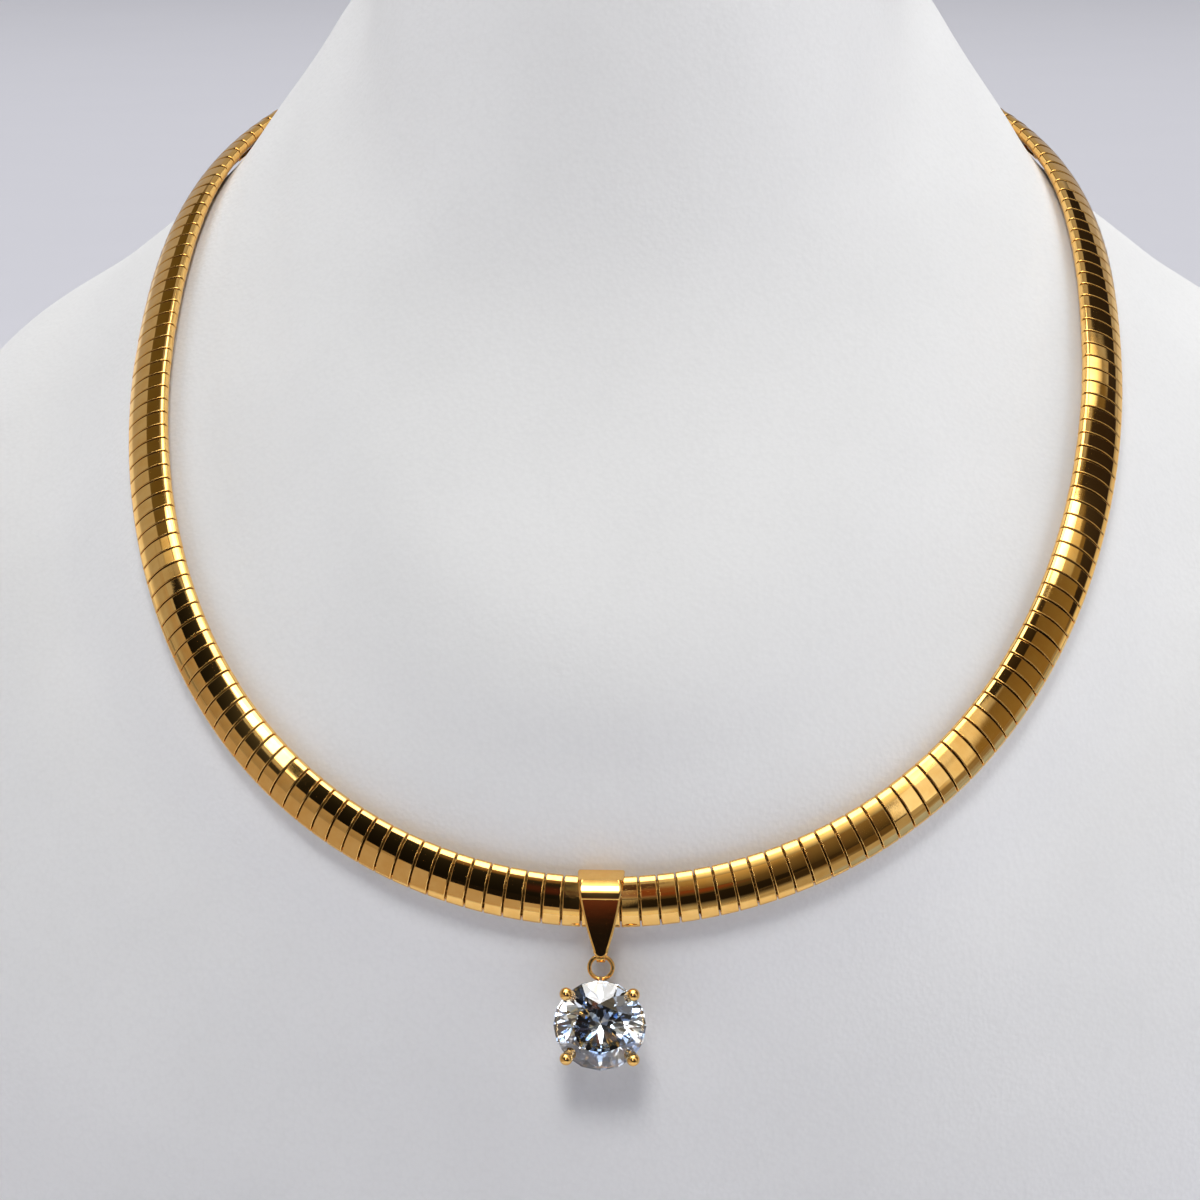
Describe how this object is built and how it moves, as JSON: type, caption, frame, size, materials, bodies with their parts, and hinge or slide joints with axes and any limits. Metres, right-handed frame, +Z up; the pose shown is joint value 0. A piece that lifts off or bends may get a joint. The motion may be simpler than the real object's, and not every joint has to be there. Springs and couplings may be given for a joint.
{
  "type": "omega chain necklace on neck bust",
  "caption": "Broad omega chain of domed plates with a solitaire pendant on a tongue bail, lying on a plain leatherette neck bust.",
  "frame": {"origin": "middle of the bust's flat base", "axes": "+Z up through the neck, -Y towards the viewer, +X to the viewer's right"},
  "size_m": [0.2074, 0.1329, 0.235],
  "materials": {
    "leatherette": "fine-grained, soft sheen",
    "polished_gold": "mirror polished yellow gold",
    "woven_gold": "woven wire, satin",
    "clasp_gold": "polished yellow gold",
    "bail_gold": "mirror polished yellow gold",
    "setting_gold": "polished yellow gold",
    "clear_stone": "faceted, clear"
  },
  "bodies": {
    "stand": {"neck_bust": "leatherette", "omega_plates": "polished_gold", "mesh_core": "woven_gold", "clasp": "clasp_gold", "bail": "bail_gold"},
    "pendant": {"setting": "setting_gold", "stone": "clear_stone"}
  },
  "joints": [
    {"name": "pendant_swing", "type": "hinge", "parent": "stand", "child": "pendant", "pos_m": [0, -0.06517, 0.08865], "axis": [-1, 0, 0], "range_deg": [0, 90]}
  ]
}
